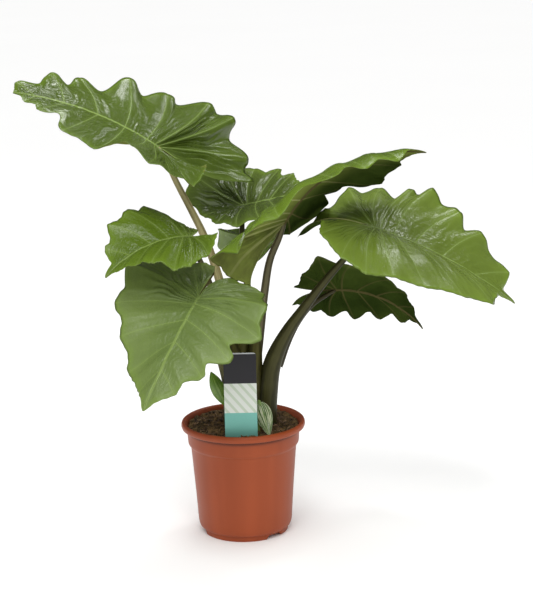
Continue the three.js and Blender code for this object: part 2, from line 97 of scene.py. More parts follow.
class Flow:
    """A value in a material's node tree. Arithmetic on it adds Math nodes, and add() makes any other node."""

    def __init__(self, tree, socket=None):
        self.tree, self.socket = tree, socket

    def add(self, kind, settings=None, inputs=None, output=0):
        node = self.tree.nodes.new(kind)
        for key, value in (settings or {}).items():
            setattr(node, key, value)
        for key, value in (inputs or {}).items():
            if isinstance(value, Flow):
                self.tree.links.new(value.socket, node.inputs[key])
            else:
                node.inputs[key].default_value = value
        return Flow(self.tree, node.outputs[output])

    def maths(self, operation, *values):
        return self.add("ShaderNodeMath", {"operation": operation}, dict(enumerate(values)))

    def __add__(self, other):
        return self.maths("ADD", self, other)

    def __sub__(self, other):
        return self.maths("SUBTRACT", self, other)

    def __rsub__(self, other):
        return self.maths("SUBTRACT", other, self)

    def __mul__(self, other):
        return self.maths("MULTIPLY", self, other)

    __radd__, __rmul__ = __add__, __mul__

    def step(self, low, high):
        """0 below low and 1 above high, with a smooth rise; the other way round where low is above high."""
        limits = {"From Min": low, "From Max": high, "Value": self}
        return self.add("ShaderNodeMapRange", {"interpolation_type": "SMOOTHSTEP"}, limits)

    def mix(self, low, high):
        """The colour low where this value is 0, and high where it is 1."""
        ends = {0: self, 6: low, 7: high}
        return self.add("ShaderNodeMix", {"data_type": "RGBA"}, ends, 2)

    def named(self, name, output="Fac"):
        """An attribute that the mesh carries."""
        return self.add("ShaderNodeAttribute", {"attribute_name": name}, output=output)

    def place(self, name=None, scale=(1, 1, 1)):
        """Object coordinates in metres, or a vector attribute of the mesh, stretched by scale."""
        point = self.named(name, "Vector") if name else self.add("ShaderNodeTexCoord", output="Object")
        return self.add("ShaderNodeMapping", inputs={"Vector": point, "Scale": scale})

    def axis(self, name):
        """One axis, X, Y or Z, of a vector."""
        return self.add("ShaderNodeSeparateXYZ", inputs={"Vector": self}, output=name)

    def noise(self, place, scale, detail=3, roughness=0.55):
        settings = {"Vector": place, "Scale": scale, "Detail": detail, "Roughness": roughness}
        return self.add("ShaderNodeTexNoise", inputs=settings)

    def cells(self, place, scale):
        """The distance to the nearest line of a net of small cells."""
        settings = {"Vector": place, "Scale": scale}
        return self.add("ShaderNodeTexVoronoi", {"feature": "DISTANCE_TO_EDGE"}, settings)

    def bump(self, height, distance, strength=1.0):
        settings = {"Height": height, "Distance": distance, "Strength": strength}
        return self.add("ShaderNodeBump", inputs=settings)


def finish(name, build, **constants):
    """A material: build takes a Flow and gives the Principled sockets that vary."""
    material = bpy.data.materials.new(name)
    material.use_nodes = True
    tree = material.node_tree
    shader = tree.nodes["Principled BSDF"]
    for key, value in constants.items():
        shader.inputs[key.replace("_", " ")].default_value = value
    for key, flow in build(Flow(tree)).items():
        tree.links.new(flow.socket, shader.inputs[key])
    return material


def rgb(red, green, blue):
    return (red, green, blue, 1)


world = bpy.data.worlds.new("sky")
world.use_nodes = True
background = world.node_tree.nodes["Background"]
background.inputs["Color"].default_value = rgb(1, 1, 1)
mirrored = Flow(world.node_tree).add("ShaderNodeLightPath", output="Is Glossy Ray")
strength = SKY_STRENGTH - mirrored * (SKY_STRENGTH - SKY_REFLECTION)
world.node_tree.links.new(strength.socket, background.inputs["Strength"])
scene.world = world


def floor_look(flow):
    cloud = flow.noise(flow.place(), FLOOR_CLOUDS, 2)
    return {"Base Color": cloud.mix(rgb(0.95, 0.95, 0.945), rgb(0.97, 0.97, 0.965))}


mesh = bmesh.new()
bmesh.ops.create_grid(mesh, x_segments=FLOOR_STEPS, y_segments=FLOOR_STEPS, size=FLOOR_SIZE)
floor = bpy.data.objects.new("floor", bpy.data.meshes.new("floor"))
mesh.to_mesh(floor.data)
floor.data.materials.append(finish("floor", floor_look, Roughness=0.9))
scene.collection.objects.link(floor)


def piece(name, mesh, materials, slot, *nodes):
    """Makes an object of a finished mesh that rides on the pot's body and stands for the CAD nodes."""
    data = bpy.data.meshes.new(name)
    mesh.to_mesh(data)
    mesh.free()
    for material in materials:
        data.materials.append(material)
    for face in data.polygons:
        face.use_smooth = True
    made = bpy.data.objects.new(name, data)
    scene.collection.objects.link(made)
    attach(made, "root")
    if nodes:
        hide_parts(*nodes)


# ---- pot -------------------------------------------------------------------------------------------------
# A nursery pot, moulded in terracotta-coloured plastic: a rolled lip, a shoulder band with a small step, a
# tapered wall, and a foot ring with three low arches so that water can run off. One profile, in mm from the
# middle of the floor's underside out, up to the lip and down the inside, is spun all round.
POT_SPIN_STEPS = 192
ARCHES, ARCH_TURN, ARCH_HALF, ARCH_HEIGHT = 3, math.radians(-47), math.radians(12), 6.5 * MM
ARCH_SQUARENESS, ARCH_STEEPNESS = 6, 1.6
FOOT_INSIDE, FOOT_TOP = 60 * MM, 6 * MM
# The first two heights (mm) bound a band of painted shade on the wall under the lip. It is darkest from the
# second height up to just below the lip's lower edge, which is the third.
LIP_SHADE_FOOT, LIP_SHADE_DARKEST, LIP_FOOT = 173, 179.5, 181.6
POT_PROFILE = [
    (0, 2), (28, 2), (30, 0), (33, 0), (35, 2.2), (64, 2.4), (66.5, 1.6), (67, 0), (72.4, 0), (73, 0.7),
    (73, 8.2), (73.2, 9.4), (76.2, 9.8), (77.6, 11), (78.8, 14.5), (79.8, 19), (83.2, 70), (86.9, 118),
    (89.4, 149), (90.2, 151.6), (92.4, 153.4), (93.8, 156), (94.3, 160), (95.2, 177.5), (95.6, 181.4),
    (96.8, 183.4), (98.8, 183.9), (100.6, 182.6), (102.2, 181.6), (103.7, 182.4), (104.9, 185.4),
    (104.7, 188.8), (103.6, 191.6), (101.6, 193), (99.4, 192.6), (97.2, 190.8), (95.2, 187.6), (93.3, 177),
    (92.2, 160.4), (91.6, 157), (90.2, 155), (88.2, 153), (87.4, 149), (85.1, 118), (81.4, 70), (77.8, 19),
    (76.8, 15.4), (74.8, 12.2), (70, 11.2), (0, 10),
]


def spun(profile, steps):
    """A closed round mesh: a profile of (radius, height) in mm that is spun about the upright axis."""
    mesh = bmesh.new()
    rail = [mesh.verts.new((r * MM, 0, z * MM)) for r, z in profile]
    for a, b in zip(rail, rail[1:]):
        mesh.edges.new((a, b))
    bmesh.ops.spin(mesh, geom=mesh.verts[:] + mesh.edges[:], angle=2 * math.pi, steps=steps, axis=(0, 0, 1),
                   cent=(0, 0, 0), use_merge=True)
    bmesh.ops.remove_doubles(mesh, verts=mesh.verts[:], dist=1e-6)
    return mesh


mesh = spun(POT_PROFILE, POT_SPIN_STEPS)
for v in mesh.verts:
    turn = math.atan2(v.co.y, v.co.x)
    radius = math.hypot(v.co.x, v.co.y)
    if radius < FOOT_INSIDE or v.co.z > FOOT_TOP:
        continue
    for k in range(ARCHES):
        off = (turn - ARCH_TURN - 2 * math.pi * k / ARCHES + math.pi) % (2 * math.pi) - math.pi
        rise = max(0.0, 1 - (abs(off) / ARCH_HALF) ** ARCH_SQUARENESS)
        v.co.z += (ARCH_HEIGHT - v.co.z) * min(1, ARCH_STEEPNESS * rise)
bmesh.ops.recalc_face_normals(mesh, faces=mesh.faces[:])


def pot_look(flow):
    place = flow.place()
    z = place.axis("Z") * 1000
    # Painted shade: a mask that darkens the wall just under the lip, standing in for the lip's shadow.
    lip_shade = z.step(LIP_SHADE_FOOT, LIP_SHADE_DARKEST) * z.step(LIP_FOOT, LIP_FOOT - 0.4)
    broad = flow.noise(flow.place(scale=(1, 1, 0.5)), 9, 3)
    fine = flow.noise(place, 900, 2)
    scuffs = flow.noise(flow.place(scale=(1, 1, 0.08)), 260, 4, 0.7).step(0.62, 0.8)
    drawn = flow.noise(flow.place(scale=(1, 1, 0.04)), 26, 2)
    tone = broad.step(0.3, 0.7) * 0.5 + drawn.step(0.35, 0.65) * 0.5
    colour = tone.mix(rgb(0.27, 0.05, 0.012), rgb(0.33, 0.064, 0.017))
    colour = (scuffs * 0.22).mix(colour, rgb(0.42, 0.115, 0.045))
    # Painted shade under the lip: the mask darkens the plastic to a near-black brown.
    colour = (lip_shade * 0.85).mix(colour, rgb(0.06, 0.016, 0.008))
    rough = 0.4 + broad * 0.1 + scuffs * 0.12
    bumps = flow.bump(fine + scuffs * 0.3, 0.12 * MM, 0.5)
    return {"Base Color": colour, "Roughness": rough, "Normal": bumps}


plastic = finish("terracotta_plastic", pot_look, Specular_IOR_Level=0.3)
piece("nursery_pot", mesh, [plastic], "pot_plastic", "pot")

# ---- peat ------------------------------------------------------------------------------------------------
# The pot is filled nearly to its lip with dark fibrous peat that can be lifted out with the plant. It is spun
# from the pot's inner profile, and its top is pushed up and down into soft lumps. Loose crumbs and pale root
# fibres are scattered over it.
SOIL_LEVEL, SOIL_EDGE, SOIL_TOP_DEPTH = 185.5, 93, 2
SOIL_SPIN_STEPS, SOIL_RINGS = 180, 60
SOIL_WALL = [(0, 10.6), (68, 11.8), (74, 13), (76, 17), (86, 147), (88.6, 155), (91.4, 159.4), (92.9, 184)]
CRUMBS, CRUMB_REACH, CRUMB_STRETCH = 460, 88, ((0.6, 1.5), (0.6, 1.3), (0.4, 0.8))
CRUMB_RADIUS, BIG_CRUMB, BIG_CRUMB_EVERY = (1.0, 2.6), 1.5, 9
FIBRES, FIBRE_REACH, FIBRE_PLACES, FIBRE_LENGTH = 260, 84, 4, (5, 14)
FIBRE_SIDES, FIBRE_STEPS, FIBRE_RADIUS, ROOT_RADIUS = 5, 6, 0.45, 0.9
soil_seed = random.Random(5)

rings = [(SOIL_EDGE * (1 - ring / SOIL_RINGS), SOIL_LEVEL) for ring in range(1, SOIL_RINGS + 1)]
mesh = spun(SOIL_WALL + rings, SOIL_SPIN_STEPS)


def soil_height(x, y):
    """Height of the peat in mm above its level at a place in mm."""
    broad = 1.8 * (math.sin(x * 0.09 + 1) * math.cos(y * 0.08) + 0.6 * math.sin(x * 0.23 + y * 0.19))
    lumps = 2.6 * noise.noise(Vector((x, y, 3)) * 0.12) + 1.6 * abs(noise.noise(Vector((x, y, 9)) * 0.3))
    return broad + lumps + 0.9 * noise.noise(Vector((x, y, 20)) * 0.8)


for v in mesh.verts:
    if v.co.z > (SOIL_LEVEL - SOIL_TOP_DEPTH) * MM:
        v.co.z = (SOIL_LEVEL + soil_height(v.co.x / MM, v.co.y / MM)) * MM
bmesh.ops.recalc_face_normals(mesh, faces=mesh.faces[:])


def peat_look(flow):
    place = flow.place()
    lumps = flow.noise(place, 90, 5, 0.7)
    grains = flow.noise(place, 420, 4, 0.7)
    colour = lumps.step(0.35, 0.7).mix(rgb(0.04, 0.025, 0.01), rgb(0.19, 0.115, 0.045))
    colour = grains.step(0.58, 0.72).mix(colour, rgb(0.33, 0.22, 0.1))
    height = lumps * 0.7 + grains * 0.5
    return {"Base Color": colour, "Normal": flow.bump(height, 2.5 * MM)}


peat = finish("peat", peat_look, Roughness=0.95, Specular_IOR_Level=0.2)
piece("peat_fill", mesh, [peat], "peat", "soil")

mesh = bmesh.new()
for number in range(CRUMBS):
    turn, out = soil_seed.uniform(0, 2 * math.pi), CRUMB_REACH * math.sqrt(soil_seed.uniform(0.04, 1))
    x, y = out * math.cos(turn), out * math.sin(turn)
    size = soil_seed.uniform(*CRUMB_RADIUS) * (BIG_CRUMB if number % BIG_CRUMB_EVERY == 0 else 1)
    made = bmesh.ops.create_icosphere(mesh, subdivisions=1, radius=size * MM)["verts"]
    squash = Matrix.Diagonal([soil_seed.uniform(*span) for span in CRUMB_STRETCH])
    angle, lean = soil_seed.uniform(0, math.pi), soil_seed.random()
    spin = Matrix.Rotation(angle, 3, Vector((lean, 0.4, 1)).normalized())
    ground = Vector((x, y, SOIL_LEVEL + soil_height(x, y) + 0.2 * size)) * MM
    for v in made:
        v.co = spin @ (squash @ v.co) * (1 + 0.25 * noise.noise(v.co * 900)) + ground


def crumb_look(flow):
    tone = flow.noise(flow.place(), 60, 2)
    colour = tone.step(0.4, 0.62).mix(rgb(0.035, 0.02, 0.009), rgb(0.17, 0.1, 0.042))
    return {"Base Color": colour}


piece("peat_crumbs", mesh, [finish("peat_crumbs", crumb_look, Roughness=0.9)], "peat")


def hermite(places, count):
    """Points on one smooth curve through a list of places, and its direction there."""
    knots = np.array(places, float)
    spans = np.linalg.norm(np.diff(knots[:, :3], axis=0), axis=1)
    at = np.concatenate([[0], np.cumsum(spans)])
    slope = np.gradient(knots, at, axis=0)
    where = np.linspace(0, at[-1], count)
    i = np.clip(np.searchsorted(at, where, side="right") - 1, 0, len(spans) - 1)
    h = spans[i][:, None]
    t = ((where - at[i]) / spans[i])[:, None]
    points = ((2 * t**3 - 3 * t**2 + 1) * knots[i] + (t**3 - 2 * t**2 + t) * h * slope[i]
              + (3 * t**2 - 2 * t**3) * knots[i + 1] + (t**3 - t**2) * h * slope[i + 1])
    along = np.gradient(points[:, :3], axis=0)
    along /= np.linalg.norm(along, axis=1)[:, None]
    return points, along, where


def tube(mesh, places, around, steps, section=None):
    """A closed round stem through [x, y, z, radius] in mm, made of a grid that is rolled up. section takes
    the turn and the share of the length, and gives a factor on the radius."""
    points, along, where = hermite(places, steps + 1)
    side = np.cross(np.array([0, 1, 0]), along)
    side /= np.linalg.norm(side, axis=1)[:, None]
    front = np.cross(along, side)
    skin = mesh.verts.layers.float_vector.get("skin") or mesh.verts.layers.float_vector.new("skin")
    made = bmesh.ops.create_grid(mesh, x_segments=around, y_segments=steps + 2, size=1)["verts"]
    for v in made:
        turn = math.pi * v.co.x
        row = round((v.co.y + 1) / 2 * (steps + 2)) - 1
        k = min(max(row, 0), steps)
        radius = points[k][3] * (section(turn, k / steps) if section else 1)
        if row < 0 or row > steps:
            radius = 0
        offset = side[k] * math.cos(turn) + front[k] * math.sin(turn)
        v.co = Vector(points[k][:3] + offset * radius) * MM
        v[skin] = Vector((math.cos(turn) * points[k][3], math.sin(turn) * points[k][3], where[k])) * MM
    bmesh.ops.remove_doubles(mesh, verts=made, dist=1e-7)


mesh = bmesh.new()
for number in range(FIBRES):
    turn, out = soil_seed.uniform(0, 2 * math.pi), FIBRE_REACH * math.sqrt(soil_seed.uniform(0.06, 1))
    x, y = out * math.cos(turn), out * math.sin(turn)
    heading, length = soil_seed.uniform(0, math.pi), soil_seed.uniform(*FIBRE_LENGTH)
    bend = soil_seed.uniform(-0.5, 0.5)
    radius = FIBRE_RADIUS if number % 5 else ROOT_RADIUS
    places = []
    for k in range(FIBRE_PLACES):
        reach = length * (k / (FIBRE_PLACES - 1) - 0.5)
        px = x + reach * math.cos(heading) - bend * reach * reach / 12 * math.sin(heading)
        py = y + reach * math.sin(heading) + bend * reach * reach / 12 * math.cos(heading)
        hop = 0.5 + soil_seed.uniform(0, 1.6)
        places.append((px, py, SOIL_LEVEL + soil_height(px, py) + hop, radius))
    tube(mesh, places, FIBRE_SIDES, FIBRE_STEPS)
bmesh.ops.recalc_face_normals(mesh, faces=mesh.faces[:])


def fibre_look(flow):
    tone = flow.noise(flow.place(), 40, 2)
    return {"Base Color": tone.step(0.4, 0.65).mix(rgb(0.09, 0.05, 0.028), rgb(0.32, 0.2, 0.11))}


piece("root_fibres", mesh, [finish("root_fibres", fibre_look, Roughness=0.85)], "peat")

# ---- label -----------------------------------------------------------------------------------------------
# A printed plastic card that stands upright, pushed into the peat in front of the stalks. It has rounded top
# corners and a thin pale border at the top, and it is printed in three plain bands: charcoal, pale grey with
# soft slanting stripes, and teal.
CARD_WIDTH, CARD_TOP, CARD_FOOT, CARD_THICKNESS = 53.5, 330, 160, 1
CARD_CORNER, CORNER_STEPS, CARD_BEVEL = 5, 8, 0.2
CARD_MIDDLE, CARD_Y = -2, -80
TEAL_TOP, STRIPES_TOP, CHARCOAL_TOP = 228, 278, 327.5

mesh = bmesh.new()
half = CARD_WIDTH / 2
outline = [(-half, CARD_FOOT), (half, CARD_FOOT)]
for sign, start in [(1, 0), (-1, math.pi / 2)]:
    for k in range(CORNER_STEPS + 1):
        turn = start + math.pi / 2 * k / CORNER_STEPS
        outline.append((sign * (half - CARD_CORNER) + CARD_CORNER * math.cos(turn),
                        CARD_TOP - CARD_CORNER + CARD_CORNER * math.sin(turn)))
card = mesh.faces.new([mesh.verts.new((x * MM, -CARD_THICKNESS / 2 * MM, z * MM)) for x, z in outline])
pulled = bmesh.ops.extrude_face_region(mesh, geom=[card])["geom"]
back_corners = [v for v in pulled if isinstance(v, bmesh.types.BMVert)]
bmesh.ops.translate(mesh, verts=back_corners, vec=(0, CARD_THICKNESS * MM, 0))
edges = [e for e in mesh.edges if abs(e.verts[0].co.y - e.verts[1].co.y) < 1e-6]
bmesh.ops.bevel(mesh, geom=edges, offset=CARD_BEVEL * MM, segments=2, profile=0.5, affect="EDGES",
                material=-1)
bmesh.ops.translate(mesh, verts=mesh.verts[:], vec=Vector((CARD_MIDDLE, CARD_Y, 0)) * MM)
bmesh.ops.recalc_face_normals(mesh, faces=mesh.faces[:])


def card_look(flow):
    place = flow.place()
    z = place.axis("Z") * 1000
    slant = flow.maths("SINE", z * 0.35 + place.axis("X") * 420).step(0.2, 0.5)
    stripes = (slant * 0.55).mix(rgb(0.66, 0.69, 0.64), rgb(0.36, 0.47, 0.3))
    grain = flow.noise(place, 1200, 2)
    teal = grain.mix(rgb(0.15, 0.41, 0.35), rgb(0.19, 0.48, 0.41))
    colour = z.step(TEAL_TOP, TEAL_TOP + 0.6).mix(teal, stripes)
    colour = z.step(STRIPES_TOP, STRIPES_TOP + 0.6).mix(colour, rgb(0.016, 0.015, 0.019))
    colour = z.step(CHARCOAL_TOP, CHARCOAL_TOP + 0.7).mix(colour, rgb(0.5, 0.52, 0.55))
    return {"Base Color": colour, "Normal": flow.bump(grain, 0.03 * MM, 0.4)}


card_finish = finish("printed_card", card_look, Roughness=0.4, Specular_IOR_Level=0.3)
piece("card_label", mesh, [card_finish], "label_card", "plant_label")

# ---- leaf blades -----------------------------------------------------------------------------------------
# Seven large arrow-shaped blades. Each grows from its stalk along a midrib, with side veins that run out to
# the crests of a waved margin and quilted leaf between them. A blade is two grids, its upper and lower face,
# bent into the leaf by one formula and closed along the margin, with midrib and veins raised underneath.

# The veins leave the midrib at these shares of its length; those at 0 belong to the basal lobes.
SMALL_LEAF = (0, 0, 0, 0.05, 0.2, 0.4, 0.65)
LARGE_LEAF = (0, 0, 0, 0.02, 0.08, 0.24, 0.43, 0.66, 0.85)
STEEP_LEAF = (0, 0, 0, 0.02, 0.06, 0.16, 0.32, 0.52, 0.74)
BROAD_LEAF = (0, 0, 0, 0, 0.03, 0.12, 0.26, 0.45, 0.68)

# at: where the stalk joins the blade (mm). heading, climb and roll turn the blade, droop and back bend the
# midrib and the basal lobes (degrees over one length). Each half has its rise beside the midrib, its
# roll-over (degrees in 100 mm), the wave of the margin between two veins (mm), and for each vein its angle,
# reach and extra rise, and how far the margin is drawn in after it, as a share of the way to the next vein.
# The stalk is a list of places with the radius there, from the blade down.
LEAVES = {
    "top_left": dict(
        at=(-131, 20, 658), heading=178, climb=35, roll=0, droop=27, back=24, length=253,
        origins=LARGE_LEAF,
        left=(-8, -2, 3, [(131, 119, 41, -0.05), (125, 147, 9, 0.05), (105, 166, 8, 0.1), (93, 171, 7, 0.05),
              (81, 154, 9, 0.1), (79, 125, -12, 0), (66, 102, -14, 0.4), (57, 62, -9, 0.2),
              (62, 31, -21, 0.1)]),
        right=(34, 3, -14, [(152, 177, 8, 0.12), (134, 183, -1, 0.25), (113, 183, 5, 0.02),
              (101, 176, 1, 0.26), (86, 149, -7, 0.26), (75, 125, -1, 0.3), (59, 104, -10, 0.3),
              (60, 70, 9, 0.2), (34, 46, 11, 0.05)]),
        stalk=[(-131, 20, 658, 4), (-117, 22, 634, 4.6), (-102, 24, 599, 5), (-78, 26, 549, 5.8),
               (-60, 26, 510, 6.4), (-43, 24, 461, 7), (-27, 18, 397, 8), (-17, 10, 321, 9),
               (-10, 4, 250, 9)]),
    "mid_left": dict(
        at=(-80, -75, 524), heading=199, climb=2, roll=0, droop=48, back=20, length=154,
        origins=SMALL_LEAF,
        left=(4, 28, 3, [(134, 55, 30, -0.02), (103, 71, -15, 0.02), (74, 101, -11, 0.02),
              (61, 106, -12, 0.15), (51, 89, -3, 0.1), (47, 68, -2, 0.1), (39, 43, -2, 0.06)]),
        right=(26, 14, -4, [(106, 66, -27, 0.02), (96, 106, -19, 0), (82, 110, -8, 0.02), (72, 101, 9, 0.22),
              (65, 90, 24, 0.15), (62, 81, 27, 0.2), (59, 46, 18, 0.2)]),
        stalk=[(-80, -75, 524, 3.4), (-71, -44, 494, 4), (-59, -12, 458, 5), (-41, -5, 400, 6),
               (-24, -8, 330, 7), (-12, -12, 260, 8)]),
    "front_left": dict(
        at=(-66, -125, 432), heading=-124, climb=-39, roll=0, droop=11, back=33, length=210,
        origins=SMALL_LEAF,
        left=(-6, 10, 3, [(150, 64, 1, 0.08), (120, 108, -8, 0.15), (95, 125, 8, 0.12), (76, 137, 0, 0.42),
              (63, 116, -1, 0.36), (55, 89, -1, 0.22), (48, 55, -2, 0.06)]),
        right=(-7, 1, 3, [(168, 85, -25, -0.05), (143, 112, 0, -0.02), (101, 146, 25, 0.2),
              (76, 137, 19, 0.18), (62, 113, 14, 0.15), (48, 93, -5, 0.05), (38, 52, -18, 0.08)]),
        stalk=[(-66, -125, 432, 4), (-56, -104, 396, 4.6), (-42, -72, 346, 5.6), (-29, -42, 290, 7.5),
               (-19, -24, 235, 9)]),
    "back": dict(
        at=(9, 115, 541), heading=-31, climb=13, roll=0, droop=-4, back=2, length=130,
        origins=SMALL_LEAF,
        left=(39, 5, 3, [(162, 145, 25, 0.02), (145, 140, 22, 0.05), (122, 112, 10, 0.1),
              (102, 100, -1, 0.24), (79, 87, -5, 0.3), (59, 64, 1, 0.05), (49, 35, 0, 0.1)]),
        right=(2, 14, 3, [(143, 101, 36, 0.05), (114, 87, 2, 0.08), (95, 89, -9, 0.06), (77, 88, -19, 0.1),
              (60, 92, -20, 0.1), (52, 74, -17, 0.1), (46, 46, -12, 0.1)]),
        stalk=[(9, 115, 541, 3.6), (6, 98, 523, 4), (5, 70, 496, 4.6), (9, 52, 452, 5.4), (13, 42, 400, 6.2),
               (13, 28, 325, 7.5), (8, 14, 255, 9)]),
    "centre": dict(
        at=(77, -20, 536), heading=-16, climb=59, roll=0, droop=65, back=-23, length=276,
        origins=STEEP_LEAF,
        left=(-15, -14, -6, [(141, 205, 36, -0.45), (129, 222, 44, -0.4), (123, 212, 31, 0.1),
              (113, 188, 6, 0.3), (95, 175, -5, 0.62), (58, 92, -15, 0.1), (61, 142, -25, 0.25),
              (50, 108, -17, 0.2), (43, 56, -9, 0.1)]),
        right=(25, 39, 3, [(142, 127, -35, 0.1), (132, 149, 4, 0.1), (119, 173, 26, 0.1),
              (104, 176, 15, 0.15), (92, 165, 13, 0.02), (89, 160, 4, 0.25), (64, 131, -6, 0.35),
              (60, 100, -18, 0.22), (54, 68, -29, 0.1)]),
        stalk=[(77, -20, 536, 4.6), (68, -18, 511, 5.2), (52, -14, 473, 6), (41, -10, 416, 6.8),
               (32, -6, 348, 7.6), (24, -4, 290, 8.5), (18, -2, 240, 9)]),
    "right": dict(
        at=(224, -40, 525), heading=1, climb=-20, roll=0, droop=20, back=39, length=266,
        origins=BROAD_LEAF,
        left=(17, 3, -12, [(144, 158, -60, -0.08), (130, 132, -24, -0.03), (108, 146, 0, 0.05),
              (88, 166, 2, 0.3), (75, 172, 8, 0.12), (73, 168, 17, 0.06), (65, 149, 17, 0.27),
              (62, 115, 24, 0.02), (45, 80, 24, 0.2)]),
        right=(1, 17, -3, [(149, 110, 11, 0.02), (135, 139, 0, 0.04), (113, 157, -4, 0.05),
              (95, 171, -4, 0.06), (82, 171, -1, 0.06), (70, 168, -2, 0.08), (59, 162, 0, 0.08),
              (47, 136, 0, 0.05), (49, 64, 0, 0.05)]),
        stalk=[(224, -40, 525, 3.6), (202, -37, 504, 4.2), (169, -33, 469, 5.4), (141, -28, 436, 6.6),
               (103, -20, 385, 8.7), (74, -14, 342, 11.4), (52, -9, 294, 15), (42, -3, 235, 17),
               (40, 0, 180, 16), (40, 0, 150, 14)]),
    "lower_right": dict(
        at=(164, 60, 402), heading=-4, climb=0, roll=-36, droop=54, back=25, length=169,
        origins=SMALL_LEAF,
        left=(6, 16, 6, [(143, 99, 3, -0.08), (117, 103, 3, 0.05), (98, 110, 0, 0.28), (77, 103, -5, 0.28),
              (60, 89, -8, 0.28), (47, 79, 0, 0.1), (42, 43, 6, 0.08)]),
        right=(7, 10, -3, [(157, 80, -18, 0.1), (131, 87, -3, 0.02), (104, 116, 6, 0.12), (81, 103, -1, 0.02),
              (53, 94, 3, 0), (47, 76, 9, 0.02), (47, 42, 5, 0.15)]),
        stalk=[(164, 60, 402, 3.4), (144, 52, 393, 4), (124, 42, 383, 4.6), (97, 26, 356, 5.4),
               (79, 13, 326, 6.2), (62, 2, 284, 7)]),
}
HUB, TIP_HALF, FOLD_START, FOLD_STEPS = 6, 1, 15, 10
LOBE_BULGE, DRAWN_TO, CREST_ROUND, WAVE_POWER = 0.15, 0.3, 0.45, 2.6
ROWS_PER_VEIN, COLUMNS = 40, 26
RIB_STEPS = (0, 1.0, 2.2, 3.6)  # the first columns stand this far (mm) from the midrib
QUILT, VEIN_BOW, MARGIN_NIBBLE, WOBBLE = 3.4, 0.05, 0.9, 2.2
RIPPLES, RIPPLE, BASAL_RIPPLE = 4, 0.22, 1.35
PUCKER = {"top_left": 2.2, "mid_left": 0.9, "front_left": 1.1, "back": 1.8, "centre": 1, "right": 1.0,
          "lower_right": 0.8}
THICKNESS, RIB_DEPTH, VEIN_DEPTH = 0.8, 3.4, 1.3
RIB_WIDTH, VEIN_WIDTH, RIB_LIFT, VEIN_GROOVE = 2.6, 1.7, 0.35, 0.25


def blade_axes(leaf):
    """Along the midrib, out of the upper face and to the left half, at the stalk."""
    heading, climb = math.radians(leaf["heading"]), math.radians(leaf["climb"])
    level = math.cos(climb)
    along = Vector((level * math.cos(heading), level * math.sin(heading), math.sin(climb)))
    up = (Vector((0, 0, 1)) - along * along.z).normalized()
    roll = Matrix.Rotation(math.radians(leaf["roll"]), 3, along)
    left = roll @ up.cross(along)
    return np.array(along), np.array(roll @ up), np.array(left)


def blade_points(leaf, sides, a, b, extra_rise, lift):
    """Bends flat places into the leaf: a along the midrib and b out from it, each an array in mm."""
    along, up, left = blade_axes(leaf)
    bend = np.where(a > 0, -math.radians(leaf["droop"]), math.radians(leaf["back"])) / leaf["length"]
    bend = np.where(np.abs(bend) < 1e-6, 1e-6, bend)
    angle = bend * np.abs(a)
    run = np.sin(bend * a) / bend
    safe = np.where(np.abs(angle) < 1e-9, 1e-9, angle)
    drop = np.abs(a) * (1 - np.cos(safe)) / safe
    point = np.array(leaf["at"], float) + run[:, None] * along + np.where(a > 0, drop, -drop)[:, None] * up
    normal = np.cos(angle)[:, None] * up - np.sin(angle)[:, None] * along
    rise = np.where(sides > 0, leaf["left"][0], leaf["right"][0])
    curl = np.where(sides > 0, leaf["left"][1], leaf["right"][1])
    for k in range(FOLD_STEPS + 1):
        out = b if k == FOLD_STEPS else b * (k + 0.5) / FOLD_STEPS
        slope = np.radians(rise + extra_rise * (1 - np.exp(-out / FOLD_START)) - curl * out / 100)
        if k < FOLD_STEPS:
            point = point + (sides * np.cos(slope) * b / FOLD_STEPS)[:, None] * left
            point = point + (np.sin(slope) * b / FOLD_STEPS)[:, None] * normal
    slope = np.where(b > 0, slope, 0)
    face = np.cos(slope)[:, None] * normal - (sides * np.sin(slope))[:, None] * left
    return point + face * lift[:, None]


def vein_table(leaf, half):
    """Rows of origin on the midrib, crest on the margin, extra rise and depth: the veins, then the tip."""
    length, basal = leaf["length"], sum(share == 0 for share in leaf["origins"])
    table = []
    for i, (share, (angle, reach, rise, depth)) in enumerate(zip(leaf["origins"], leaf[half][3])):
        origin = share * length if share else -HUB * (1 - i / (basal - 1))
        turn = math.radians(angle)
        table.append((origin, share * length + reach * math.cos(turn), reach * math.sin(turn), rise, depth))
    table.append((length, length, TIP_HALF, 0, 0))
    return np.array(table, float)


